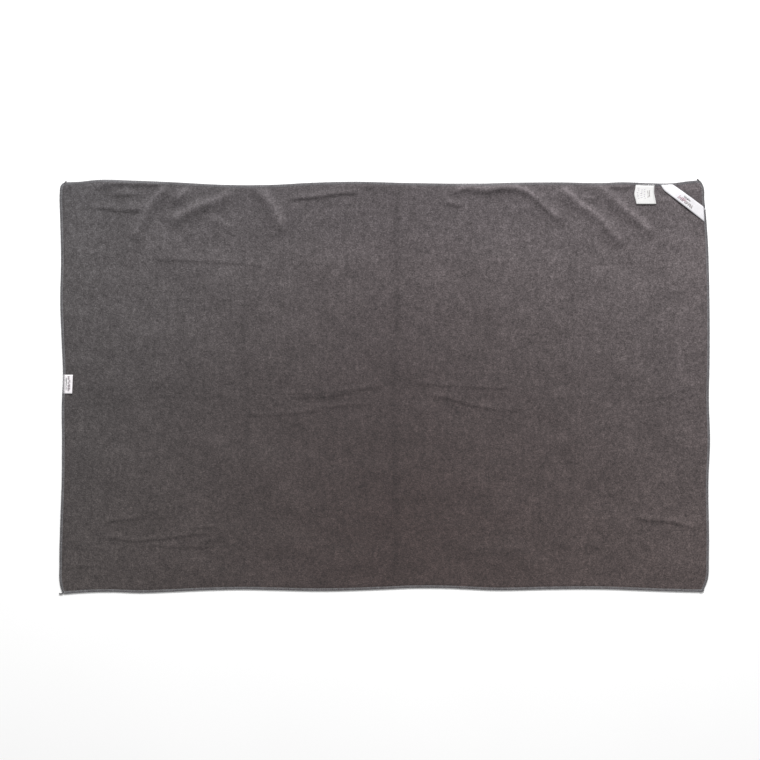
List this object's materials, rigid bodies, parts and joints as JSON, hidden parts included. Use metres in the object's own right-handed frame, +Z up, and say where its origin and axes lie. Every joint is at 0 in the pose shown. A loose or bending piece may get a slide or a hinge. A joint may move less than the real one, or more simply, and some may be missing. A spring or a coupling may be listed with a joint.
{
  "type": "quick dry towel",
  "caption": "Thin rectangular microfibre travel towel lying flat, with an overlocked edge, a diagonal corner hanging loop, a care label and a folded side tag.",
  "frame": {"origin": "middle of the towel's footprint on the surface that it lies on", "axes": "+X along the towel's length towards the end with the corner loop, +Y across it towards the edge with the care label, +Z up out of the pile side that carries the labels"},
  "size_m": [1.3088, 0.8299, 0.0095],
  "materials": {
    "towel_pile": "brushed microfibre pile",
    "overlock_thread": "twisted polyester thread",
    "loop_ribbon": "woven ribbon",
    "label_satin": "satin",
    "tag_weave": "woven tag"
  },
  "bodies": {
    "left_half": {"towel_left_half": "towel_pile", "left_overlock": "overlock_thread", "top_overlock_left": "overlock_thread", "bottom_overlock_left": "overlock_thread", "top_left_thread_tail": "overlock_thread", "bottom_left_thread_tail": "overlock_thread"},
    "right_half": {"towel_right_half": "towel_pile", "right_overlock": "overlock_thread", "top_overlock_right": "overlock_thread", "bottom_overlock_right": "overlock_thread", "top_right_thread_tail": "overlock_thread", "bottom_right_thread_tail": "overlock_thread", "corner_loop": "loop_ribbon"},
    "care_label": {"care_label_back": "label_satin", "care_label_front": "label_satin"},
    "tag": {"side_tag": "tag_weave"}
  },
  "joints": [
    {"name": "mid_fold", "type": "hinge", "parent": "left_half", "child": "right_half", "pos_m": [0.022, 0, 0.005], "axis": [0, -1, 0], "range_deg": [0, 178]},
    {"name": "care_label_flip", "type": "hinge", "parent": "right_half", "child": "care_label", "pos_m": [0.523, 0.4047, 0.0036], "axis": [-1, 0, 0], "range_deg": [0, 175]},
    {"name": "side_tag_flip", "type": "hinge", "parent": "left_half", "child": "tag", "pos_m": [-0.6447, 0.0035, 0.0036], "axis": [0, -1, 0], "range_deg": [0, 175]}
  ]
}
